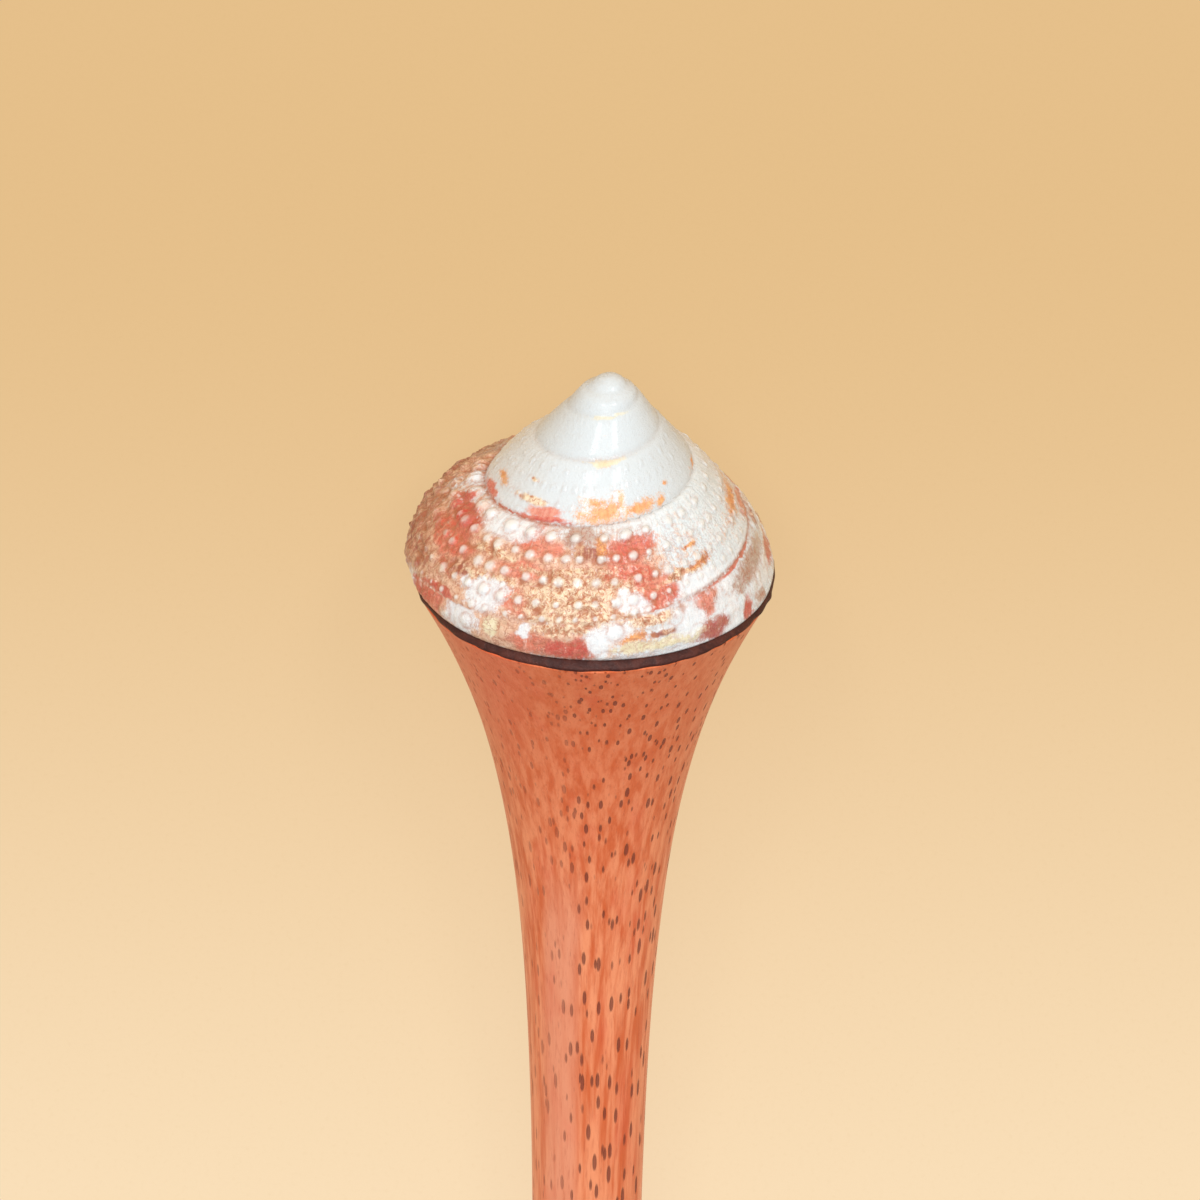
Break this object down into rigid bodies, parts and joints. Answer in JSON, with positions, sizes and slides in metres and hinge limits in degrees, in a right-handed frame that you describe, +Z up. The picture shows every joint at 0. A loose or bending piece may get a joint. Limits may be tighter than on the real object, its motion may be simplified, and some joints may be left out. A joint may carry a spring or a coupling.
{
  "type": "turban shell on a turned wooden stem",
  "caption": "Beaded spiral shell, flat across its base, glued on a flared round wooden stem and lying on its side.",
  "frame": {"origin": "centre of the box, on the surface that the object lies on", "axes": "+X along the stick towards the shell's tip, +Z up out of the shell's front, +Y to the left of it when looking down with the tip away"},
  "size_m": [0.099, 0.025, 0.0247],
  "materials": {
    "shell": "gloss",
    "filler": "satin",
    "wood": "satin"
  },
  "bodies": {
    "root": {"turban_shell": "shell", "seam_filler": "filler", "wooden_stem": "wood"}
  },
  "joints": []
}
